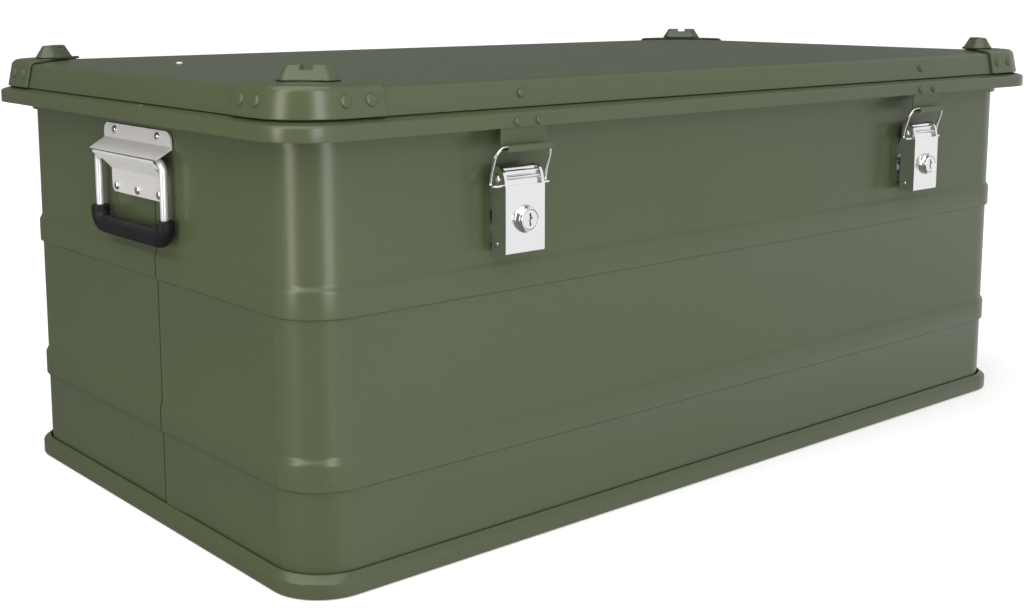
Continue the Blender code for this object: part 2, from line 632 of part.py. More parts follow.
def handle(side, sign, finishes):
    """A drop handle: two folded plates hold the bar's top between them, and the grip is on its lower part."""

    def place(y, out, z):
        return Vector((sign * (CASE_LENGTH / 2 + SEAM_STEP + out), y, z))

    def plate(profile, half):
        return prism(profile, -half, half, place)

    pivot = pivot_at(f"handle_axis_{side}", *place(0, *HANDLE_AXIS))
    near = GAP
    far = GAP + SHEET
    fold = 0.2985
    ridge = 0.2915
    flat = sheet_shape(PLATE_HALF, fold - 0.001, 0.3115, near, SHEET, place, 0.006)
    top = add(f"handle_top_plate_{side}", flat, finishes["plate"])
    hood = [(near, fold - 0.0004), (RIDGE_OUT - SHEET, ridge - 0.0006), (RIDGE_OUT, ridge + 0.0002)]
    hood += [(far + 0.0004, fold + 0.0006), (near, fold + 0.0006)]
    cut(top, plate(hood, PLATE_HALF), "UNION")
    foot = 0.2755
    flat = sheet_shape(FLANGE_HALF, 0.2570, foot + 0.001, near, SHEET, place, 0.005, True)
    lower = add(f"handle_lower_plate_{side}", flat, finishes["plate"])
    tip = 0.2888
    edge = 0.2903
    lip_bottom = 0.2835
    share = (tip - lip_bottom) / (tip - foot)
    middle = RIDGE_OUT - (RIDGE_OUT - far) * share
    lip = [(RIDGE_OUT, edge), (RIDGE_OUT, tip), (middle, lip_bottom), (middle - SHEET, lip_bottom)]
    lip += [(RIDGE_OUT - SHEET, tip), (RIDGE_OUT - SHEET, edge)]
    crease = lip_bottom + 0.0003
    slope = [(middle, crease), (far, foot), (near, foot + 0.0003), (middle - SHEET, crease)]
    cut(lower, plate(slope, FLANGE_HALF), "UNION")
    cut(lower, plate(lip, LIP_HALF), "UNION")
    spots = [(y, 0.3065) for y in (-0.036, 0.036)] + [(y, 0.2620) for y in (-0.036, 0.0, 0.036)]
    for number, (y, z) in enumerate(spots, start=1):
        dome = turned(rivet_profile(), place(y, far + GAP, z), (sign, 0, 0), 12)
        add(f"handle_rivet_{side}_{number}", dome, finishes["plate"])
    corners = [(BAR_HALF, HANDLE_AXIS[0], HANDLE_AXIS[1]), (BAR_HALF, HANDLE_AXIS[0], GRIP_Z)]
    corners += [(-y, out, z) for y, out, z in reversed(corners)]
    middle_top = (0.0, HANDLE_AXIS[0], HANDLE_AXIS[1])
    loop = [middle_top, *corners, middle_top]
    path = rounded_path([place(*c) for c in loop], [0.0075, 0.0100, 0.0100, 0.0075])
    bm = bmesh.new()
    bridge(bm, tube_loops(bm, path[:-1], BAR_RADIUS, 12, closed=True), closed=True)
    add(f"handle_bar_{side}", bm, finishes["bar"], pivot)
    ends = [(BAR_HALF, HANDLE_AXIS[0], GRIP_TOP), *corners[1:3], (-BAR_HALF, HANDLE_AXIS[0], GRIP_TOP)]
    path = rounded_path([place(*c) for c in ends], [0.0100, 0.0100])
    bm = bmesh.new()
    skin = tube_loops(bm, path, GRIP_RADIUS, 16, closed=False)
    bore = tube_loops(bm, path, BAR_RADIUS + GAP, 16, closed=False)
    bridge(bm, skin)
    bridge(bm, bore)
    bridge(bm, [skin[0], bore[0]])
    bridge(bm, [skin[-1], bore[-1]])
    add(f"handle_grip_{side}", bm, finishes["grip"], pivot)


def rivet_profile():
    """Half of a domed head, from its flat face out."""
    points = [(RIVET_RADIUS, 0.0)]
    for step in range(1, 4):
        angle = math.pi / 2 * step / 4
        points.append((RIVET_RADIUS * math.cos(angle), RIVET_DOME * math.sin(angle)))
    return points


def lid_rivet(finish, pivot):
    """The rivet head on the lid's top, towards its left end."""
    inward = 0.0820
    spot = (-CASE_LENGTH / 2 - LID_WALL_OUT + inward, 0.058, LID_EDGE + crown(inward) + GAP)
    add("lid_rivet", turned(rivet_profile(), spot, (0, 0, 1), 12), finish, pivot)


def build():
    clear_scene()
    paint = material("olive_paint", (0.098, 0.118, 0.072), 0.42, 0.0)
    lining = material("bare_aluminium", (0.62, 0.63, 0.64), 0.40, 1.0)
    steel = material("polished_steel", (0.70, 0.71, 0.72), 0.18, 1.0)
    wire = material("bright_wire", (0.78, 0.78, 0.78), 0.14, 1.0)
    plate = material("satin_steel", (0.66, 0.67, 0.68), 0.34, 1.0)
    bar = material("satin_aluminium", (0.80, 0.81, 0.82), 0.30, 1.0)
    grip = material("black_plastic", (0.012, 0.012, 0.013), 0.55, 0.0)
    rubber = material("seal_rubber", (0.020, 0.020, 0.021), 0.80, 0.0)
    finishes = {"paint": paint, "steel": steel, "wire": wire, "plate": plate, "bar": bar, "grip": grip}

    lid_pivot = pivot_at("lid_axis", 0, CASE_WIDTH / 2 + HINGE_OUT, HINGE_Z)
    case_wall(paint)
    base_rim(paint)
    floor_panel(lining)
    case_frame(paint)
    lid_panel(paint, lid_pivot)
    lid_rail(paint, lid_pivot)
    lid_seal(rubber, lid_pivot)
    lid_rivet(plate, lid_pivot)
    for depth, sy in (("front", -1), ("back", 1)):
        for side, sx in (("left", -1), ("right", 1)):
            corner_cap(f"corner_cap_{depth}_{side}", sx, sy, paint, lid_pivot)
            stacking_stud(f"stacking_stud_{depth}_{side}", sx, sy, paint, lid_pivot)
    for side, sign in (("left", -1), ("right", 1)):
        hinge(side, sign * HINGE_X, paint, steel, lid_pivot)
        latch(side, sign * LATCH_X, finishes, lid_pivot)
        handle(side, sign, finishes)


build()
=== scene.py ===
"""A footlocker: satin olive paint over aluminium sheet, with bright latches and black drop handles."""

import json
import math

import bmesh
import bpy
from mathutils import Matrix, Vector


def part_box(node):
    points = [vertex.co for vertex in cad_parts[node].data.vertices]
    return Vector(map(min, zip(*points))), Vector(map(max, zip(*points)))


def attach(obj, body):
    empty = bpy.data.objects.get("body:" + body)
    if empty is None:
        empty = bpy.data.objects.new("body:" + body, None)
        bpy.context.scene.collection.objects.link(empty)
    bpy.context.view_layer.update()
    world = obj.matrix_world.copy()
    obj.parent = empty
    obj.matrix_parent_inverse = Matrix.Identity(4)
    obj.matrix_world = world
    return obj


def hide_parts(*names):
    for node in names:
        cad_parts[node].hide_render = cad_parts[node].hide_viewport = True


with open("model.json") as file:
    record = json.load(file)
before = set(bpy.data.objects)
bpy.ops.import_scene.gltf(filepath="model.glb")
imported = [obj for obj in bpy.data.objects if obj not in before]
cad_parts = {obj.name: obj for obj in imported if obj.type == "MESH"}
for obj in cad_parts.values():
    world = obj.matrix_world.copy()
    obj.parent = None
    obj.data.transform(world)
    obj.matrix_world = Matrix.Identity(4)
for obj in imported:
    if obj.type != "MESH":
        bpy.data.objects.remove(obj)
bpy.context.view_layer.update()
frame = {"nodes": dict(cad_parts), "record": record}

# The case's size, from its CAD nodes
rail_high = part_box("lid_rail")[1]
BAND_OUT = 0.0225
HALF_X = rail_high.x - BAND_OUT
HALF_Y = rail_high.y - BAND_OUT
CORNER_RADIUS = 0.042
SHEET = 0.0015
GAP = 0.0003

# Beads in the wall: slope top, slope bottom, step top, step bottom, and how far they stand out
BEADS = ((0.2195, 0.2135, 0.1962, 0.1945), (0.0990, 0.0930, 0.0752, 0.0735))
BEAD_DEPTH = 0.0018
SEAM_Y = -0.025
SEAM_STEP = 0.0010
SEAM_RUN = 0.040
SEAM_WIDTH = 0.0034
SEAM_DEPTH = 0.0026

# Lid
BAND_BOTTOM = 0.3185
LID_WALL_BOTTOM = 0.3325
LID_WALL_OUT = 0.0158
LID_SHOULDER = 0.3490
LID_EDGE = 0.3525
LID_CROWN = 0.0042
CAP_LEG = 0.073
CAP_TIP = 0.011
CAP_BOTTOM = 0.3322
CAP_SHEET = 0.0022
CAP_RIVETS = (0.0420, 0.0620)
CAP_RIVET_Z = 0.3437
STUD_IN = 0.038
STUD_BASE = (0.0215, 0.0108)
STUD_TOP = (0.0155, 0.0055)
STUD_HEIGHT = 0.0098
STUD_SLOT = (0.0042, 0.0032)
BAND_RIVET_X = 0.250
BAND_RIVET_Z = 0.3226
WALL_RIVET_Z = 0.3420

# Latches
LATCH_X = 0.2525
LEVER_HALF = 0.0187
LEVER_SHEET = 0.0012
LEVER_FRONT = 0.0225
LEVER_BACK = 0.0070
LEVER_BOTTOM = 0.2270
LEVER_SHOULDER = 0.2765
LEVER_PIVOT = (0.0115, 0.2810)
ROLL_RADIUS = 0.0095
BAIL_PIVOT = (0.0192, 0.2770)
BAIL_BAR = (0.0221, 0.3050)
BAIL_HALF = 0.0262
WIRE_RADIUS = 0.0011
LOCK_Z = 0.2520
CATCH_HALF = 0.0215
CATCH_SHEET = 0.0012
CATCH_FACE = 0.0206
TROUGH_BOTTOM = 0.3018
TROUGH_LIP_OUT = 0.0293
TROUGH_LIP_TOP = 0.3068

# Handles
HANDLE_AXIS = (0.0080, 0.2890)
BAR_RADIUS = 0.0030
BAR_HALF = 0.055
GRIP_Z = 0.2310
GRIP_TOP = 0.2455
GRIP_RADIUS = 0.0072
PLATE_HALF = 0.0560
LIP_HALF = 0.0505
FLANGE_HALF = 0.0445
RIDGE_OUT = 0.0150

# Camera and light
CAMERA_PLACE = (-0.92174, -1.01712, 0.41675)
CAMERA_YAW = 0.70871
CAMERA_PITCH = 0.14865
CAMERA_ROLL = 0.00059
CAMERA_LENS = 50.12
CAMERA_SHIFT_Y = -0.10
FLOOR_SIZE = 400
SKY_BRIGHT_SIDE = (0.76, -0.65, 0.0)
SKY_DIM = (0.18, 0.182, 0.185, 1.0)
SKY_BRIGHT = (0.96, 0.965, 0.97, 1.0)
SUN_DIRECTION = (0.30, 0.02, -1.0)
SUN_STRENGTH = 2.45
SUN_ANGLE = 70
SOFTBOX_TARGET = (-0.42, -0.22, 0.25)


# ---------------------------------------------------------------- materials


class Nodes:
    """A material's node tree, with short calls to add nodes and join them up."""

    def __init__(self, name, colour, roughness, metallic):
        self.material = bpy.data.materials.new(name)
        self.material.use_nodes = True
        self.tree = self.material.node_tree
        self.shader = self.tree.nodes["Principled BSDF"]
        self.shader.inputs["Base Color"].default_value = (*colour, 1.0)
        self.shader.inputs["Roughness"].default_value = roughness
        self.shader.inputs["Metallic"].default_value = metallic
        self.place = self.add("ShaderNodeTexCoord").outputs["Object"]

    def add(self, kind, **settings):
        node = self.tree.nodes.new(kind)
        for key, value in settings.items():
            setattr(node, key, value)
        return node

    def join(self, output, target):
        self.tree.links.new(output, target)

    def stretched(self, scale):
        mapping = self.add("ShaderNodeMapping")
        mapping.inputs["Scale"].default_value = scale
        self.join(self.place, mapping.inputs["Vector"])
        return mapping.outputs["Vector"]

    def noise(self, scale, detail=3.0, rough=0.5, vector=None):
        node = self.add("ShaderNodeTexNoise")
        node.inputs["Scale"].default_value = scale
        node.inputs["Detail"].default_value = detail
        node.inputs["Roughness"].default_value = rough
        self.join(vector or self.place, node.inputs["Vector"])
        return node.outputs["Fac"]

    def ramp(self, value, stops):
        node = self.add("ShaderNodeValToRGB")
        elements = node.color_ramp.elements
        while len(elements) < len(stops):
            elements.new(0.5)
        for element, (position, colour) in zip(elements, stops):
            element.position = position
            element.color = (*colour, 1.0)
        self.join(value, node.inputs["Fac"])
        return node.outputs["Color"]

    def spread(self, value, low, high):
        """The middle of a noise value, spread over low to high."""
        node = self.add("ShaderNodeMapRange")
        node.inputs["From Min"].default_value = 0.15
        node.inputs["From Max"].default_value = 0.85
        node.inputs["To Min"].default_value = low
        node.inputs["To Max"].default_value = high
        self.join(value, node.inputs["Value"])
        return node.outputs["Result"]

    def bump(self, height, distance, strength=1.0, below=None):
        node = self.add("ShaderNodeBump")
        node.inputs["Distance"].default_value = distance
        node.inputs["Strength"].default_value = strength
        self.join(height, node.inputs["Height"])
        if below:
            self.join(below, node.inputs["Normal"])
        self.join(node.outputs["Normal"], self.shader.inputs["Normal"])
        return node.outputs["Normal"]

    def colour(self, output):
        self.join(output, self.shader.inputs["Base Color"])

    def roughness(self, output):
        self.join(output, self.shader.inputs["Roughness"])


def olive_paint():
    """Satin powder coat: a faint orange peel, and slow, slight changes of shade and gloss."""
    made = Nodes("olive_powder_coat", (0.055, 0.071, 0.033), 0.28, 0.0)
    shade = made.noise(5.0, detail=2.0)
    made.colour(made.ramp(shade, ((0.15, (0.053, 0.069, 0.032)), (0.85, (0.058, 0.073, 0.034)))))
    made.roughness(made.spread(made.noise(14.0, detail=2.0), 0.26, 0.31))
    flat = made.bump(made.noise(9.0, detail=1.0), 0.0006, 0.08)
    made.bump(made.noise(480.0, detail=1.0), 0.00003, 0.22, below=flat)
    made.shader.inputs["Specular IOR Level"].default_value = 0.42
    return made.material


def polished_steel():
    made = Nodes("polished_steel", (0.84, 0.84, 0.84), 0.16, 1.0)
    grain = made.noise(90.0, detail=4.0, vector=made.stretched((1.0, 1.0, 22.0)))
    made.roughness(made.spread(grain, 0.13, 0.20))
    made.bump(grain, 0.00002, 0.10)
    return made.material


def bright_wire():
    made = Nodes("nickel_plate", (0.82, 0.81, 0.79), 0.12, 1.0)
    made.roughness(made.spread(made.noise(160.0), 0.09, 0.16))
    return made.material


def satin_steel():
    """Plate brushed along the case's depth."""
    made = Nodes("brushed_steel", (0.70, 0.70, 0.70), 0.44, 0.5)
    grain = made.noise(60.0, detail=6.0, rough=0.65, vector=made.stretched((1.0, 0.6, 34.0)))
    made.colour(made.ramp(grain, ((0.15, (0.63, 0.63, 0.63)), (0.85, (0.77, 0.77, 0.77)))))
    made.roughness(made.spread(grain, 0.42, 0.56))
    made.bump(grain, 0.00004, 0.25)
    return made.material


def rivet_aluminium():
    made = Nodes("turned_aluminium", (0.74, 0.74, 0.75), 0.22, 1.0)
    made.roughness(made.spread(made.noise(200.0), 0.18, 0.27))
    return made.material


def satin_aluminium():
    made = Nodes("anodised_aluminium", (0.80, 0.81, 0.82), 0.30, 0.65)
    made.roughness(made.spread(made.noise(220.0, detail=4.0), 0.26, 0.36))
    made.bump(made.noise(900.0), 0.00002, 0.2)
    return made.material


def black_plastic():
    """Moulded grip: a fine spark-eroded grain."""
    made = Nodes("grained_plastic", (0.007, 0.007, 0.008), 0.50, 0.0)
    made.shader.inputs["Specular IOR Level"].default_value = 0.25
    grain = made.noise(1500.0, detail=2.0)
    made.colour(made.ramp(made.noise(40.0), ((0.3, (0.006, 0.006, 0.007)), (0.7, (0.009, 0.009, 0.010)))))
    made.roughness(made.spread(grain, 0.42, 0.60))
    made.bump(grain, 0.00006, 0.5)
    return made.material


def bare_aluminium():
    """Mill-finish sheet, rolled along the case's length."""
    made = Nodes("mill_aluminium", (0.70, 0.71, 0.72), 0.38, 1.0)
    grain = made.noise(30.0, detail=6.0, rough=0.6, vector=made.stretched((0.6, 20.0, 20.0)))
    made.colour(made.ramp(grain, ((0.30, (0.62, 0.63, 0.64)), (0.70, (0.76, 0.77, 0.78)))))
    made.roughness(made.spread(grain, 0.32, 0.46))
    made.bump(grain, 0.00005, 0.2)
    return made.material


def seal_rubber():
    made = Nodes("seal_rubber", (0.016, 0.016, 0.017), 0.80, 0.0)
    made.roughness(made.spread(made.noise(300.0), 0.72, 0.86))
    made.bump(made.noise(900.0), 0.0001, 0.4)
    return made.material


def studio_floor():
    made = Nodes("studio_floor", (0.92, 0.92, 0.92), 0.60, 0.0)
    made.shader.inputs["Emission Color"].default_value = (1.0, 1.0, 1.0, 1.0)
    made.shader.inputs["Emission Strength"].default_value = 0.24
    made.roughness(made.spread(made.noise(2.0), 0.55, 0.65))
    return made.material


# ------------------------------------------------------------------- pieces


def add(name, bm, finish, body, replaces=(), bevel=0.0, sharp=35, segments=2):
    """Turns a bmesh in world coordinates into a piece that rides on a body."""
    bmesh.ops.recalc_face_normals(bm, faces=bm.faces)
    mesh = bpy.data.meshes.new(name)
    bm.to_mesh(mesh)
    bm.free()
    mesh.shade_smooth()
    mesh.set_sharp_from_angle(angle=math.radians(sharp))
    mesh.materials.append(finish)
    obj = bpy.data.objects.new(name, mesh)
    bpy.context.scene.collection.objects.link(obj)
    if bevel:
        modifier = obj.modifiers.new("edges", "BEVEL")
        modifier.width = bevel
        modifier.segments = segments
        modifier.limit_method = "ANGLE"
        modifier.angle_limit = math.radians(sharp)
        modifier.harden_normals = True
    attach(obj, body)
    if replaces:
        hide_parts(*replaces)
    return obj


def cut(obj, bm, operation="DIFFERENCE"):
    """Cuts a bmesh out of a piece, or joins it on, before its edges are bevelled."""
    bmesh.ops.recalc_face_normals(bm, faces=bm.faces)
    mesh = bpy.data.meshes.new(obj.name + "_tool")
    bm.to_mesh(mesh)
    bm.free()
    tool = bpy.data.objects.new(mesh.name, mesh)
    bpy.context.scene.collection.objects.link(tool)
    modifier = obj.modifiers.new("shape", "BOOLEAN")
    modifier.operation = operation
    modifier.object = tool
    modifier.solver = "EXACT"
    obj.modifiers.move(len(obj.modifiers) - 1, 0)
    with bpy.context.temp_override(object=obj, active_object=obj):
        bpy.ops.object.modifier_apply(modifier=modifier.name)
    bpy.data.objects.remove(tool)
    obj.data.shade_smooth()
    obj.data.set_sharp_from_angle(angle=math.radians(35))


def bridge(bm, loops, closed=False):
    last = len(loops) if closed else len(loops) - 1
    for i in range(last):
        one = loops[i]
        two = loops[(i + 1) % len(loops)]
        for k in range(len(one)):
            m = (k + 1) % len(one)
            bm.faces.new((one[k], one[m], two[m], two[k]))


def outline(out, seam=0.0, steps=24):
    """The case's rounded plan, moved outward by out. Its corners don't grow as it moves outward.
    seam is the step of the wall sheet's lap on the left side, with a narrow gap at its edge."""
    half_x = HALF_X + out
    half_y = HALF_Y + out
    radius = max(CORNER_RADIUS + min(out, 0.0), 0.003)
    points = []
    for quarter, (sx, sy) in enumerate(((1, 1), (-1, 1), (-1, -1), (1, -1))):
        centre = Vector((sx * (half_x - radius), sy * (half_y - radius)))
        for step in range(steps + 1):
            angle = (quarter + step / steps) * math.pi / 2
            points.append(centre + radius * Vector((math.cos(angle), math.sin(angle))))
        if seam and quarter == 1:
            points.append(Vector((-half_x, SEAM_Y + SEAM_WIDTH)))
            points.append(Vector((-half_x + SEAM_DEPTH, SEAM_Y + SEAM_WIDTH - 0.0004)))
            points.append(Vector((-half_x + SEAM_DEPTH, SEAM_Y + 0.0002)))
            points.append(Vector((-half_x - seam, SEAM_Y - 0.0001)))
            points.append(Vector((-half_x - seam, SEAM_Y - SEAM_RUN / 2)))
            points.append(Vector((-half_x, SEAM_Y - SEAM_RUN)))
    return points


def rounded(profile, closed=True, default=0.0, steps=4):
    """A profile of (out, z) or (out, z, radius) points with its corners rounded."""
    count = len(profile)
    points = []
    for i, item in enumerate(profile):
        radius = item[2] if len(item) > 2 else default
        corner = Vector(item[:2])
        if not radius or (not closed and i in (0, count - 1)):
            points.append(tuple(corner))
            continue
        back = Vector(profile[i - 1][:2]) - corner
        ahead = Vector(profile[(i + 1) % count][:2]) - corner
        half = back.angle(ahead) / 2
        reach = min(radius / math.tan(half), back.length * 0.49, ahead.length * 0.49)
        radius = reach * math.tan(half)
        back.normalize()
        ahead.normalize()
        centre = corner + (back + ahead).normalized() * (radius / math.sin(half))
        first = corner + back * reach - centre
        turn = math.pi - 2 * half
        sense = 1 if back.x * ahead.y - back.y * ahead.x < 0 else -1
        for step in range(steps + 1):
            spoke = Matrix.Rotation(sense * turn * step / steps, 2) @ first
            points.append(tuple(centre + spoke))
    return points


def ring(name, profile, finish, body, replaces, seam=0.0):
    bm = bmesh.new()
    loops = []
    for out, z in profile:
        loops.append([bm.verts.new((p.x, p.y, z)) for p in outline(out, seam)])
    bridge(bm, loops, closed=True)
    return add(name, bm, finish, body, replaces)


def prism(profile, x_from, x_to, place, steps=1):
    """A solid with this (out, z) profile, from x_from to x_to. place turns (x, out, z) into a world point."""
    bm = bmesh.new()
    loops = []
    for k in range(steps + 1):
        x = x_from + (x_to - x_from) * k / steps
        loops.append([bm.verts.new(place(x, out, z)) for out, z in profile])
    bridge(bm, loops)
    bm.faces.new(loops[0])
    bm.faces.new(loops[-1])
    return bm


def arc(centre, radius, steps, start, end):
    """Points on a circle in the (out, z) plane, from start to end in degrees."""
    angles = [math.radians(start + (end - start) * i / steps) for i in range(steps + 1)]
    return [(centre[0] + radius * math.cos(a), centre[1] + radius * math.sin(a)) for a in angles]


def turned(profile, centre, axis, steps=32, bm=None):
    """A turned piece: the (radius, along) profile goes round the axis through centre, from end to end."""
    bm = bm or bmesh.new()
    axis = Vector(axis).normalized()
    side = axis.orthogonal().normalized()
    other = axis.cross(side)
    loops = []
    for radius, along in profile:
        loop = []
        for k in range(steps):
            angle = 2 * math.pi * k / steps
            spoke = side * math.cos(angle) + other * math.sin(angle)
            loop.append(bm.verts.new(Vector(centre) + axis * along + spoke * radius))
        loops.append(loop)
    bridge(bm, loops)
    bm.faces.new(loops[0])
    bm.faces.new(loops[-1])
    return bm


def tube_loops(bm, points, radius, sides, closed):
    """Rings of vertices square to a path. radius may be a list, one for each point."""
    count = len(points)
    tangents = []
    for i in range(count):
        after = points[(i + 1) % count] if closed or i + 1 < count else points[i]
        before = points[i - 1] if closed or i > 0 else points[i]
        tangents.append((after - before).normalized())
    side = tangents[0].orthogonal().normalized()
    loops = []
    for i, (point, tangent) in enumerate(zip(points, tangents)):
        side = (side - tangent * side.dot(tangent)).normalized()
        other = tangent.cross(side)
        size = radius[i] if isinstance(radius, list) else radius
        loop = []
        for k in range(sides):
            angle = 2 * math.pi * k / sides
            loop.append(bm.verts.new(point + size * (side * math.cos(angle) + other * math.sin(angle))))
        loops.append(loop)
    return loops


def rounded_path(corners, radii, steps=8):
    """A path in space with each corner but the ends rounded."""
    points = [Vector(corners[0])]
    for before, corner, after, radius in zip(corners, corners[1:], corners[2:], radii):
        corner = Vector(corner)
        back = (Vector(before) - corner).normalized()
        ahead = (Vector(after) - corner).normalized()
        half = back.angle(ahead) / 2
        reach = radius / math.tan(half)
        centre = corner + (back + ahead).normalized() * (radius / math.sin(half))
        start = corner + back * reach - centre
        axis = back.cross(ahead).normalized()
        for step in range(steps + 1):
            turn = Matrix.Rotation(-(math.pi - 2 * half) * step / steps, 3, axis)
            points.append(centre + turn @ start)
    points.append(Vector(corners[-1]))
    kept = [points[0]]
    for point in points[1:]:
        if (point - kept[-1]).length > 0.0002:
            kept.append(point)
    return kept


def dome(radius, height, steps=6, rim=0.0):
    """Half of a domed rivet head, with a thin upright rim."""
    points = [(radius, 0.0)]
    if rim:
        points.append((radius, rim))
    for step in range(1, steps):
        angle = math.pi / 2 * step / steps
        points.append((radius * math.cos(angle), rim + (height - rim) * math.sin(angle)))
    return points


# --------------------------------------------------------------------- case


def smooth_step(z_from, z_to, out_from, out_to, steps):
    """Points of an S-shaped change of depth."""
    points = []
    for step in range(steps + 1):
        share = step / steps
        eased = share * share * (3 - 2 * share)
        points.append((out_from + (out_to - out_from) * eased, z_from + (z_to - z_from) * share))
    return points


def case_wall(paint):
    outer = [(0.0, 0.0026), (0.0, 0.0400)]
    for slope_top, slope_bottom, step_top, step_bottom in reversed(BEADS):
        outer += smooth_step(step_bottom, step_top, 0.0, BEAD_DEPTH, 4)
        outer += smooth_step(slope_bottom, slope_top, BEAD_DEPTH, 0.0, 8)
    outer.append((0.0, 0.3245))
    inner = [(out - SHEET, z) for out, z in reversed(outer)]
    ring("wall_sheet", outer + inner, paint, "case", ["case_wall"], seam=SEAM_STEP)


def base_rim(paint):
    hold = GAP + SEAM_STEP
    profile = [(hold, 0.0160), (0.0018, 0.0160, 0.0003), (0.0060, 0.0114, 0.0009), (0.0060, 0.0, 0.0014)]
    profile += [(-0.0140, 0.0), (-0.0140, 0.0020), (hold, 0.0020)]
    ring("foot_rim", rounded(profile), paint, "case", ["base_rim"])


def case_frame(paint):
    leg = GAP + SEAM_STEP
    profile = [(leg, 0.3125), (leg, 0.3248), (-0.0035, 0.3248), (-0.0035, 0.3263, 0.0006)]
    profile += [(0.0175, 0.3263, 0.0012), (0.0175, 0.3195, 0.0005), (0.0160, 0.3195)]
    profile += [(0.0160, 0.3248), (leg + SHEET, 0.3248), (leg + SHEET, 0.3125)]
    ring("mouth_frame", rounded(profile), paint, "case", ["case_frame"])


def crown(inward):
    reach = HALF_Y + LID_WALL_OUT
    share = min(inward / reach, 1.0)
    return LID_CROWN * (1 - (1 - share) ** 2)


def lid_surface():
    """(out, z) up the lid's wall, round its shoulder and in over its crowned top."""
    points = [(LID_WALL_OUT, LID_WALL_BOTTOM), (LID_WALL_OUT - 0.0034, LID_SHOULDER)]
    centre = LID_WALL_OUT - 0.0034 - 0.0035
    for step in range(1, 7):
        angle = step * math.pi / 12
        points.append((centre + 0.0035 * math.cos(angle), LID_SHOULDER + 0.0035 * math.sin(angle)))
    for inward in (0.020, 0.030, 0.040, 0.055, 0.075, 0.100, 0.130, 0.165, 0.200, 0.225):
        points.append((LID_WALL_OUT - inward, LID_EDGE + crown(inward)))
    return points


def lid_panel(paint):
    outer = lid_surface()
    inner = [(out - SHEET, max(z - SHEET, LID_WALL_BOTTOM)) for out, z in outer]
    inner[1] = (outer[1][0] - SHEET, LID_SHOULDER - 0.0008)
    bm = bmesh.new()
    loops = [[bm.verts.new((p.x, p.y, z)) for p in outline(out)] for out, z in outer]
    others = [[bm.verts.new((p.x, p.y, z)) for p in outline(out)] for out, z in reversed(inner)]
    bridge(bm, loops)
    bm.faces.new(loops[-1])
    bm.faces.new(others[0])
    bridge(bm, others)
    bridge(bm, [others[-1], loops[0]])
    add("lid_skin", bm, paint, "lid", ["lid_panel"], bevel=0.0003)


def lid_rail(paint):
    profile = [(BAND_OUT, BAND_BOTTOM, 0.0004), (BAND_OUT, 0.3290, 0.0026), (0.0137, 0.3322, 0.0008)]
    profile += [(0.0100, 0.3446), (0.0085, 0.3446), (0.0104, 0.3388), (-0.0020, 0.3388), (-0.0020, 0.3373)]
    profile += [(0.0108, 0.3373), (0.0122, 0.3312), (0.0210, 0.3275, 0.0020), (0.0210, BAND_BOTTOM)]
    ring("lid_band", rounded(profile, steps=6), paint, "lid", ["lid_rail"])


def corner_cap(name, sx, sy, paint, node):
    """Sheet wrapped round a corner of the lid, with a flange over the top that ends across the corner."""
    surface = lid_surface()
    half_x = HALF_X + LID_WALL_OUT
    half_y = HALF_Y + LID_WALL_OUT
    path = [(Vector((half_x - CAP_LEG, half_y)), Vector((0, -1)))]
    centre = Vector((half_x - CORNER_RADIUS, half_y - CORNER_RADIUS))
    for step in range(21):
        angle = math.pi / 2 * (1 - step / 20)
        spoke = Vector((math.cos(angle), math.sin(angle)))
        path.append((centre + CORNER_RADIUS * spoke, -spoke))
    path.append((Vector((half_x, half_y - CAP_LEG)), Vector((-1, 0))))
    ends = (Vector((half_x - CAP_LEG, half_y - CAP_TIP)), Vector((half_x - CAP_TIP, half_y - CAP_LEG)))
    runs = [0.0]
    for (one, _), (two, _) in zip(path, path[1:]):
        runs.append(runs[-1] + (two - one).length)
    bm = bmesh.new()
    columns = []
    for (point, inward), run in zip(path, runs):
        inner = ends[0].lerp(ends[1], run / runs[-1])
        column = [point.copy()]
        heights = [CAP_BOTTOM]
        for out, z in surface[1:8]:
            column.append(point + inward * (LID_WALL_OUT - out))
            heights.append(z)
        shoulder = point + inward * 0.0069
        for share in (0.25, 0.5, 0.75, 1.0):
            spot = shoulder.lerp(inner, share)
            column.append(spot)
            heights.append(LID_EDGE + crown(min(half_x - spot.x, half_y - spot.y)))
        columns.append([bm.verts.new((p.x, p.y, z)) for p, z in zip(column, heights)])
    for one, two in zip(columns, columns[1:]):
        for k in range(len(one) - 1):
            bm.faces.new((one[k], one[k + 1], two[k + 1], two[k]))
    bmesh.ops.recalc_face_normals(bm, faces=bm.faces)
    if sum(face.normal.z for face in bm.faces) < 0:
        bmesh.ops.reverse_faces(bm, faces=bm.faces)
    bm.normal_update()
    places = {vert: vert.co + vert.normal * GAP for vert in bm.verts}
    for vert, spot in places.items():
        vert.co = spot
    bm.normal_update()
    outside = {vert: bm.verts.new(vert.co + vert.normal * CAP_SHEET) for vert in list(bm.verts)}
    border = [edge for edge in bm.edges if edge.is_boundary]
    for face in list(bm.faces):
        bm.faces.new([outside[vert] for vert in face.verts])
    for edge in border:
        a, b = edge.verts
        bm.faces.new((a, b, outside[b], outside[a]))
    bmesh.ops.scale(bm, vec=(sx, sy, 1), verts=bm.verts)
    add(name, bm, paint, "lid", [node], bevel=0.0007, sharp=50, segments=3)


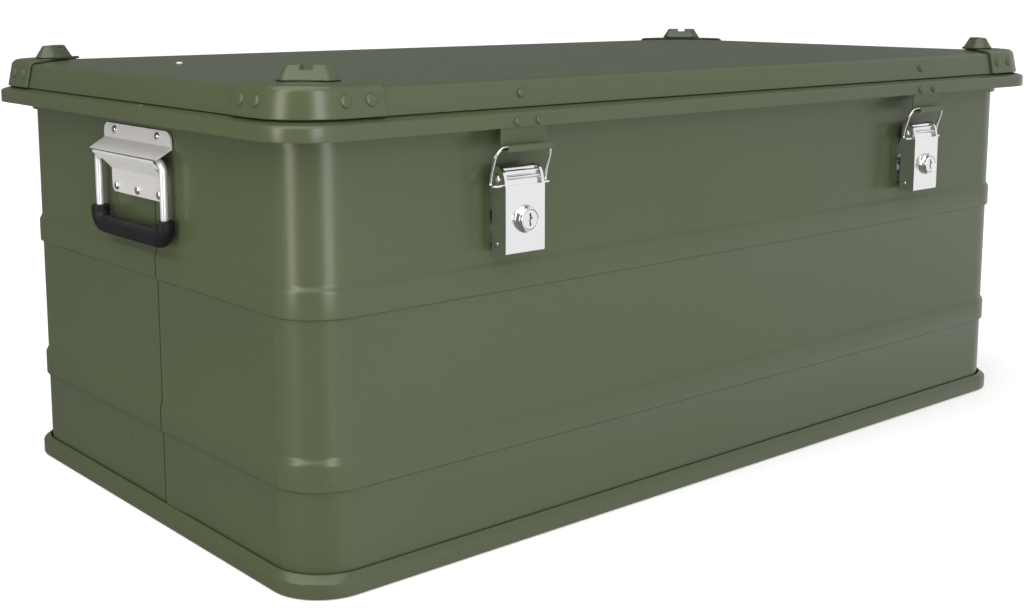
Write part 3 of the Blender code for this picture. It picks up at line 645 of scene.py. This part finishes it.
def cap_rivets(name, sx, sy, paint):
    """Two domed rivets on each leg of a corner cap, square to the curve of its face."""
    slant = 0.0034 / (LID_SHOULDER - LID_WALL_BOTTOM)
    face = GAP + CAP_SHEET - slant * (CAP_RIVET_Z - LID_WALL_BOTTOM) - 0.0002
    bm = bmesh.new()
    for distance in CAP_RIVETS:
        angle = math.asin(max(0.0, 1 - distance / CORNER_RADIUS))
        along = max(distance, CORNER_RADIUS)
        for swap in (False, True):
            spot = Vector((-along, -CORNER_RADIUS))
            normal = Vector((math.sin(angle), math.cos(angle)))
            spot += normal * (CORNER_RADIUS + face)
            if swap:
                spot.x, spot.y = spot.y, spot.x
                normal.x, normal.y = normal.y, normal.x
            place_x = sx * (HALF_X + LID_WALL_OUT + spot.x)
            place_y = sy * (HALF_Y + LID_WALL_OUT + spot.y)
            place = (place_x, place_y, CAP_RIVET_Z)
            turned(dome(0.0044, 0.0022, rim=0.0004), place, (sx * normal.x, sy * normal.y, slant), 28, bm)
    add(name, bm, paint, "lid", sharp=60)


def stacking_stud(name, sx, sy, paint, node):
    half_x = HALF_X + LID_WALL_OUT
    half_y = HALF_Y + LID_WALL_OUT
    centre = Vector((sx * (half_x - STUD_IN), sy * (half_y - STUD_IN)))
    across = Vector((sx, -sy)).normalized()
    along = Vector((sx, sy)).normalized()
    foot = LID_EDGE + crown(STUD_IN * 1.25) + GAP + CAP_SHEET + GAP
    bm = bmesh.new()
    loops = []
    rim = (STUD_BASE[0] + 0.0006, STUD_BASE[1] + 0.0006)
    levels = [(rim, foot - 0.0008), (rim, foot + 0.0004)]
    levels += [(STUD_BASE, foot + 0.0008), (STUD_TOP, foot + STUD_HEIGHT)]
    for (wide, deep), z in levels:
        loop = []
        for sign in (1, -1):
            for step in range(13):
                angle = math.pi * (step / 12 - 0.5)
                u = sign * (wide - deep + deep * math.cos(angle))
                v = sign * deep * math.sin(angle)
                spot = centre + across * u + along * v
                loop.append(bm.verts.new((spot.x, spot.y, z)))
        loops.append(loop)
    bridge(bm, loops)
    bm.faces.new(loops[0])
    bm.faces.new(loops[-1])
    stud = add(name, bm, paint, "lid", [node], bevel=0.0009, sharp=30, segments=3)
    half_slot, depth = STUD_SLOT
    slot = bmesh.new()
    bmesh.ops.create_cube(slot, size=1)
    bmesh.ops.scale(slot, vec=(2 * half_slot, 4 * STUD_BASE[1], 2 * depth), verts=slot.verts)
    turn = Matrix.Rotation(math.atan2(across.y, across.x), 3, "Z")
    bmesh.ops.rotate(slot, cent=(0, 0, 0), matrix=turn, verts=slot.verts)
    bmesh.ops.translate(slot, vec=(centre.x, centre.y, foot + STUD_HEIGHT), verts=slot.verts)
    cut(stud, slot)


def band_rivets(paint):
    """Small rivets that hold the catch plates: two in the band and one in the lid's wall, at each latch."""
    bm = bmesh.new()
    slant = 0.0034 / (LID_SHOULDER - LID_WALL_BOTTOM)
    for sign in (-1, 1):
        for offset in (-0.0103, 0.0103):
            spot = (sign * BAND_RIVET_X + offset, -HALF_Y - BAND_OUT + 0.0001, BAND_RIVET_Z)
            turned(dome(0.0032, 0.0026, rim=0.0006), spot, (0, -1, 0), 24, bm)
        out = LID_WALL_OUT - slant * (WALL_RIVET_Z - LID_WALL_BOTTOM)
        spot = (sign * BAND_RIVET_X, -HALF_Y - out + 0.0001, WALL_RIVET_Z)
        turned(dome(0.0032, 0.0026, rim=0.0006), spot, (0, -1, slant), 24, bm)
    spot = (-HALF_X - 0.0178, -0.040, 0.3302)
    turned(dome(0.0026, 0.0012, rim=0.0002), spot, (-0.45, 0, 1), 24, bm)
    add("band_rivets", bm, paint, "lid", sharp=60)


# ------------------------------------------------------------------ latches


def lever_outline(radius):
    """The lever's side, with the top rolled round its pin."""
    profile = [(LEVER_BACK, LEVER_BOTTOM), (LEVER_FRONT - 0.0016, LEVER_BOTTOM)]
    profile += [(LEVER_FRONT - 0.0005, LEVER_BOTTOM + 0.0005), (LEVER_FRONT, LEVER_BOTTOM + 0.0016)]
    profile += [(LEVER_FRONT, LEVER_SHOULDER - 0.0008)]
    profile += arc(LEVER_PIVOT, radius, 16, 8, 110)
    profile.append((LEVER_BACK, LEVER_PIVOT[1]))
    return profile


def latch_lever(side, place, steel):
    body = f"lever_{side}"
    cover = prism(lever_outline(ROLL_RADIUS), -LEVER_HALF, LEVER_HALF, place)
    lever = add(f"lever_cover_{side}", cover, steel, body, [f"latch_lever_{side}"], bevel=0.0005,
                sharp=30, segments=3)
    room = LEVER_HALF - LEVER_SHEET
    front = LEVER_FRONT - LEVER_SHEET
    # The roll's sheet ends square at its top, clear of the ears when the lever is open
    inside = arc(LEVER_PIVOT, ROLL_RADIUS - 0.0031, 12, -10, 108)
    beyond = arc(LEVER_PIVOT, ROLL_RADIUS + 0.0030, 1, 108, 110)
    hollow = [(-0.001, LEVER_BOTTOM + LEVER_SHEET), (front, LEVER_BOTTOM + LEVER_SHEET)]
    hollow += [(front, LEVER_SHOULDER - 0.0045), *inside, beyond[0], (-0.001, beyond[0][1])]
    cut(lever, prism(hollow, -room, room, place))
    # The roll between the cheeks is sunk and pressed into ridges
    ridged = []
    for step in range(49):
        angle = -4 + 122 * step / 48
        wave = 0.5 - 0.5 * math.cos(2 * math.pi * 4 * step / 48)
        depth = ROLL_RADIUS - 0.0022 + 0.0015 * wave
        radian = math.radians(angle)
        ridged.append((LEVER_PIVOT[0] + depth * math.cos(radian), LEVER_PIVOT[1] + depth * math.sin(radian)))
    ridged[0] = (LEVER_PIVOT[0] + ROLL_RADIUS - 0.0016, LEVER_SHOULDER + 0.0006)
    sunk = [(LEVER_FRONT + 0.003, LEVER_SHOULDER + 0.0006), *ridged, (LEVER_PIVOT[0] - 0.0070, 0.2950)]
    sunk.append((LEVER_FRONT + 0.003, 0.2950))
    reach = LEVER_HALF - 0.0024
    cut(lever, prism(list(reversed(sunk)), -reach, reach, place))
    hole = turned([(0.0088, 0.015), (0.0088, 0.030)], place(0, 0, LOCK_Z), (0, -1, 0), 40)
    cut(lever, hole)
    for sign in (-1, 1):
        spot = place(sign * (LEVER_HALF + 0.0002), 0.0120, 0.2335)
        dimple = turned([(0.0026, -0.0030), (0.0026, 0.0)], spot, (sign, 0, 0), 24)
        cut(lever, dimple)
        stub = turned([(0.0022, -0.0013), (0.0022, -0.0004), (0.0014, 0.0002)], spot, (sign, 0, 0), 24)
        add(f"lever_dimple_{side}_{'a' if sign < 0 else 'b'}", stub, steel, body)


def latch_pin(side, place, steel):
    near = LEVER_HALF + 0.0003
    bm = turned([(0.0020, -near), (0.0020, near)], place(0, *LEVER_PIVOT), (1, 0, 0), 20)
    for sign in (-1, 1):
        head = dome(0.0043, 0.0019, rim=0.0004)
        turned(head, place(sign * near, *LEVER_PIVOT), (sign, 0, 0), 28, bm)
    add(f"lever_pin_{side}", bm, steel, "case", [f"latch_pin_{side}"], sharp=50)


def latch_bail(side, place, wire):
    end = LEVER_HALF - LEVER_SHEET - 0.0012
    half = [(end, *BAIL_PIVOT), (BAIL_HALF, *BAIL_PIVOT), (BAIL_HALF, 0.0140, 0.2766)]
    half += [(BAIL_HALF, 0.0155, 0.2860), (BAIL_HALF, *BAIL_BAR)]
    corners = half + [(-x, out, z) for x, out, z in reversed(half)]
    radii = [0.0022, 0.0022, 0.0034, 0.0085, 0.0085, 0.0034, 0.0022, 0.0022]
    path = rounded_path([place(*c) for c in corners], radii)
    bm = bmesh.new()
    loops = tube_loops(bm, path, WIRE_RADIUS, 16, closed=False)
    bridge(bm, loops)
    bm.faces.new(loops[0])
    bm.faces.new(loops[-1])
    add(f"bail_wire_{side}", bm, wire, f"bail_{side}", [f"latch_bail_{side}"], sharp=50)


def lock(side, place, steel, wire):
    """The lock: a stepped ring that stands out of the lever, and the core with its keyway."""
    centre = place(0, 0, LOCK_Z)
    face = LEVER_FRONT + GAP
    profile = [(0.0085, 0.0120), (0.0085, face), (0.0101, face - 0.0002), (0.0103, face + 0.0002)]
    profile += [(0.0103, face + 0.0008), (0.0098, face + 0.0013)]
    profile += [(0.0087, face + 0.0029), (0.0085, face + 0.0033)]
    profile += [(0.0085, face + 0.0049), (0.0083, face + 0.0053), (0.0080, face + 0.0054)]
    profile += [(0.0077, face + 0.0053), (0.0075, face + 0.0048), (0.0075, face)]
    ring_bm = turned(profile, centre, (0, -1, 0), 56)
    add(f"lock_ring_{side}", ring_bm, steel, f"lever_{side}", [f"lock_housing_{side}"],
        sharp=28)
    tip = face + 0.0050
    profile = [(0.0035, 0.0062), (0.0035, 0.0122), (0.0073, 0.0122), (0.0073, tip - 0.0004), (0.0070, tip)]
    core_bm = turned(profile, centre, (0, -1, 0), 56)
    core = add(f"lock_core_{side}", core_bm, wire, f"plug_{side}", [f"lock_plug_{side}"],
               sharp=28)
    keyway = [(-0.0008, 0.0046), (0.0008, 0.0046), (0.0008, 0.0022), (0.0019, 0.0018), (0.0019, 0.0006)]
    keyway += [(0.0004, 0.0000), (0.0004, -0.0020), (0.0009, -0.0026), (0.0007, -0.0046), (-0.0006, -0.0046)]
    keyway += [(-0.0006, -0.0024), (-0.0012, -0.0018), (-0.0012, -0.0002)]
    keyway += [(-0.0003, 0.0008), (-0.0008, 0.0022)]
    slot_bm = bmesh.new()
    slot_loops = []
    for out in (0.0170, 0.0320):
        slot_loops.append([slot_bm.verts.new(place(x, out, LOCK_Z + z)) for x, z in keyway])
    bridge(slot_bm, slot_loops)
    slot_bm.faces.new(slot_loops[0])
    slot_bm.faces.new(slot_loops[1])
    cut(core, slot_bm)
    low, high = LOCK_Z - 0.0140, LOCK_Z + 0.0020
    cam = [(0.0066, low), (0.0086, low), (0.0086, high), (0.0066, high)]
    cut(core, prism(cam, -0.0030, 0.0030, place), "UNION")


def catch_plate(side, place, paint):
    back = CATCH_FACE - CATCH_SHEET
    floor = TROUGH_BOTTOM + CATCH_SHEET
    lip_in = TROUGH_LIP_OUT - CATCH_SHEET
    profile = [(CATCH_FACE, 0.3240), (CATCH_FACE, floor, 0.0012), (lip_in, floor, 0.0018)]
    profile += [(lip_in, TROUGH_LIP_TOP, 0.0004), (TROUGH_LIP_OUT, TROUGH_LIP_TOP, 0.0004)]
    profile += [(TROUGH_LIP_OUT, TROUGH_BOTTOM, 0.0030), (back, TROUGH_BOTTOM, 0.0024), (back, 0.3240)]
    bm = prism(rounded(profile, steps=6), -CATCH_HALF, CATCH_HALF, place)
    add(f"catch_{side}", bm, paint, "lid", [f"catch_plate_{side}"], bevel=0.0003, sharp=40)


def latch(side, x_centre, finish):
    def place(x, out, z):
        return Vector((x_centre + x, -HALF_Y - out, z))

    latch_lever(side, place, finish["steel"])
    latch_pin(side, place, finish["steel"])
    latch_bail(side, place, finish["wire"])
    lock(side, place, finish["steel"], finish["wire"])
    catch_plate(side, place, finish["paint"])


# ------------------------------------------------------------------ handles


def flat_plate(outline_points, out, thickness, place):
    bm = bmesh.new()
    loops = [[bm.verts.new(place(y, o, z)) for y, z in outline_points] for o in (out, out + thickness)]
    bridge(bm, loops)
    bm.faces.new(loops[0])
    bm.faces.new(loops[1])
    return bm


def tab(half, edge_z, other_z, corner):
    """The outline of a plate whose corners at edge_z are rounded."""
    inward = 1 if other_z > edge_z else -1
    points = []
    for sign in (1, -1):
        turn = []
        for step in range(9):
            angle = math.pi / 2 * step / 8
            y = sign * (half - corner + corner * math.cos(angle))
            turn.append((y, edge_z + inward * corner * (1 - math.sin(angle))))
        points += turn if sign == 1 else list(reversed(turn))
    return points + [(-half, other_z), (half, other_z)]


def handle(side, sign, finish):
    body = f"handle_{side}"

    def place(y, out, z):
        return Vector((sign * (HALF_X + SEAM_STEP + out), y, z))

    near = GAP
    far = GAP + SHEET
    fold = 0.2985
    ridge = 0.2915
    flat = flat_plate(tab(PLATE_HALF, 0.3115, fold - 0.001, 0.0075), near, SHEET, place)
    top = add(f"handle_hood_{side}", flat, finish["plate"], "case", [f"handle_top_plate_{side}"],
              bevel=0.0003)
    hood = [(near, fold - 0.0004), (RIDGE_OUT - SHEET, ridge - 0.0006), (RIDGE_OUT, ridge + 0.0002)]
    hood += [(far + 0.0012, fold + 0.0002), (far, fold + 0.0016), (near, fold + 0.0016)]
    cut(top, prism(hood, -PLATE_HALF, PLATE_HALF, place), "UNION")
    foot = 0.2755
    flat = flat_plate(tab(FLANGE_HALF, 0.2570, foot + 0.001, 0.0055), near, SHEET, place)
    lower = add(f"handle_socket_{side}", flat, finish["plate"], "case", [f"handle_lower_plate_{side}"],
                bevel=0.0003)
    tip = 0.2888
    lip_bottom = 0.2835
    share = (tip - lip_bottom) / (tip - foot)
    middle = RIDGE_OUT - (RIDGE_OUT - far) * share
    crease = lip_bottom + 0.0003
    slope = [(middle, crease), (far, foot), (near, foot + 0.0003), (middle - SHEET, crease)]
    cut(lower, prism(slope, -FLANGE_HALF, FLANGE_HALF, place), "UNION")
    edge = 0.2903
    lip = [(RIDGE_OUT, edge), (RIDGE_OUT, tip), (middle, lip_bottom), (middle - SHEET, lip_bottom)]
    lip += [(RIDGE_OUT - SHEET, tip), (RIDGE_OUT - SHEET, edge)]
    cut(lower, prism(lip, -LIP_HALF, LIP_HALF, place), "UNION")
    spots = [(y, 0.3065) for y in (-0.036, 0.036)] + [(y, 0.2620) for y in (-0.036, 0.0, 0.036)]
    for number, (y, z) in enumerate(spots, start=1):
        head = turned(dome(0.0034, 0.0024, rim=0.0003), place(y, far, z), (sign, 0, 0), 28)
        add(f"handle_dome_{side}_{number}", head, finish["rivet"], "case", [f"handle_rivet_{side}_{number}"],
            sharp=60)
    corners = [(BAR_HALF, HANDLE_AXIS[0], HANDLE_AXIS[1]), (BAR_HALF, HANDLE_AXIS[0], GRIP_Z)]
    corners += [(-y, out, z) for y, out, z in reversed(corners)]
    middle_top = (0.0, HANDLE_AXIS[0], HANDLE_AXIS[1])
    loop = [place(*c) for c in (middle_top, *corners, middle_top)]
    path = rounded_path(loop, [0.0075, 0.0100, 0.0100, 0.0075])
    bm = bmesh.new()
    bridge(bm, tube_loops(bm, path[:-1], BAR_RADIUS, 24, closed=True), closed=True)
    add(f"handle_rod_{side}", bm, finish["bar"], body, [f"handle_bar_{side}"])
    ends = [(BAR_HALF, HANDLE_AXIS[0], GRIP_TOP), *corners[1:3], (-BAR_HALF, HANDLE_AXIS[0], GRIP_TOP)]
    path = rounded_path([place(*c) for c in ends], [0.0100, 0.0100], steps=12)
    bm = bmesh.new()
    lip_path = [path[0], path[0] + (path[1] - path[0]).normalized() * 0.0008]
    back_path = [path[-1] + (path[-2] - path[-1]).normalized() * 0.0008, path[-1]]
    whole = lip_path + path[1:-1] + back_path
    sizes = [GRIP_RADIUS - 0.0010] + [GRIP_RADIUS] * (len(whole) - 2) + [GRIP_RADIUS - 0.0010]
    skin = tube_loops(bm, whole, sizes, 32, closed=False)
    bore = tube_loops(bm, whole, BAR_RADIUS + 0.0001, 32, closed=False)
    bridge(bm, skin)
    bridge(bm, bore)
    bridge(bm, [skin[0], bore[0]])
    bridge(bm, [skin[-1], bore[-1]])
    add(f"handle_sleeve_{side}", bm, finish["grip"], body, [f"handle_grip_{side}"], sharp=50)


# -------------------------------------------------------------------- studio


def studio(floor_finish):
    """A white floor, kept out of reflections, and a sky that is brightest beyond the right of the front."""
    bm = bmesh.new()
    bmesh.ops.create_grid(bm, x_segments=1, y_segments=1, size=FLOOR_SIZE)
    mesh = bpy.data.meshes.new("studio_floor")
    bm.to_mesh(mesh)
    bm.free()
    mesh.materials.append(floor_finish)
    floor = bpy.data.objects.new("studio_floor", mesh)
    floor.location.z = -0.0005
    floor.visible_glossy = False
    bpy.context.scene.collection.objects.link(floor)
    world = bpy.data.worlds.new("studio")
    world.use_nodes = True
    tree = world.node_tree
    direction = tree.nodes.new("ShaderNodeTexCoord").outputs["Generated"]
    toward = tree.nodes.new("ShaderNodeVectorMath")
    toward.operation = "DOT_PRODUCT"
    toward.inputs[1].default_value = SKY_BRIGHT_SIDE
    tree.links.new(direction, toward.inputs[0])
    ramp = tree.nodes.new("ShaderNodeValToRGB")
    ramp.color_ramp.interpolation = "EASE"
    elements = ramp.color_ramp.elements
    elements[0].position = 0.20
    elements[0].color = SKY_DIM
    elements[1].position = 0.85
    elements[1].color = SKY_BRIGHT
    tree.links.new(toward.outputs["Value"], ramp.inputs["Fac"])
    background = tree.nodes["Background"]
    tree.links.new(ramp.outputs["Color"], background.inputs["Color"])
    background.inputs["Strength"].default_value = 1.0
    bpy.context.scene.world = world


def overhead(direction, strength):
    """Even, very soft light from above."""
    light = bpy.data.lights.new("overhead", "SUN")
    light.energy = strength
    light.angle = math.radians(SUN_ANGLE)
    obj = bpy.data.objects.new("overhead", light)
    obj.rotation_euler = Vector(direction).to_track_quat("-Z", "Y").to_euler()
    bpy.context.scene.collection.objects.link(obj)


def softbox(name, place, target, size, power, tint):
    light = bpy.data.lights.new(name, "AREA")
    light.color = tint
    light.shape = "RECTANGLE"
    light.size, light.size_y = size
    light.energy = power
    obj = bpy.data.objects.new(name, light)
    obj.location = place
    obj.rotation_euler = (Vector(target) - Vector(place)).to_track_quat("-Z", "Y").to_euler()
    obj.visible_camera = False
    bpy.context.scene.collection.objects.link(obj)


def camera():
    data = bpy.data.cameras.new("camera")
    data.lens = CAMERA_LENS
    data.sensor_width = 36.0
    data.shift_y = CAMERA_SHIFT_Y
    obj = bpy.data.objects.new("camera", data)
    yaw, pitch, roll = CAMERA_YAW, CAMERA_PITCH, CAMERA_ROLL
    forward = Vector((math.sin(yaw) * math.cos(pitch), math.cos(yaw) * math.cos(pitch), -math.sin(pitch)))
    right = Vector((math.cos(yaw), -math.sin(yaw), 0.0))
    up = right.cross(forward)
    x_axis = right * math.cos(roll) + up * math.sin(roll)
    y_axis = up * math.cos(roll) - right * math.sin(roll)
    turn = Matrix((x_axis, y_axis, -forward)).transposed()
    obj.matrix_world = Matrix.Translation(CAMERA_PLACE) @ turn.to_4x4()
    bpy.context.scene.collection.objects.link(obj)
    bpy.context.scene.camera = obj


def main():
    paint = olive_paint()
    finish = {
        "paint": paint,
        "steel": polished_steel(),
        "wire": bright_wire(),
        "plate": satin_steel(),
        "rivet": rivet_aluminium(),
        "bar": satin_aluminium(),
        "grip": black_plastic(),
        "bare_aluminium": bare_aluminium(),
        "rubber": seal_rubber(),
    }
    slots = {entry["node"]: entry["material_slot"] for entry in frame["record"]["subparts"]}
    for name, node in frame["nodes"].items():
        node.data.materials.clear()
        node.data.materials.append(finish[slots[name]])
    case_wall(paint)
    base_rim(paint)
    case_frame(paint)
    lid_panel(paint)
    lid_rail(paint)
    for depth, sy in (("front", -1), ("back", 1)):
        for side, sx in (("left", -1), ("right", 1)):
            corner_cap(f"cap_{depth}_{side}", sx, sy, paint, f"corner_cap_{depth}_{side}")
            cap_rivets(f"cap_rivets_{depth}_{side}", sx, sy, paint)
            stacking_stud(f"stud_{depth}_{side}", sx, sy, paint, f"stacking_stud_{depth}_{side}")
    band_rivets(paint)
    for side, sign in (("left", -1), ("right", 1)):
        latch(side, sign * LATCH_X, finish)
        handle(side, sign, finish)
    studio(studio_floor())
    overhead(SUN_DIRECTION, SUN_STRENGTH)
    softbox("left_box", (-1.55, -0.24, 0.62), SOFTBOX_TARGET, (0.34, 1.24), 8.5, (1.0, 0.92, 0.84))
    softbox("front_box", (-0.75, -1.33, 0.62), SOFTBOX_TARGET, (0.36, 1.24), 9.0, (1.0, 1.0, 1.0))
    camera()
    bpy.context.scene.view_settings.view_transform = "Standard"


main()
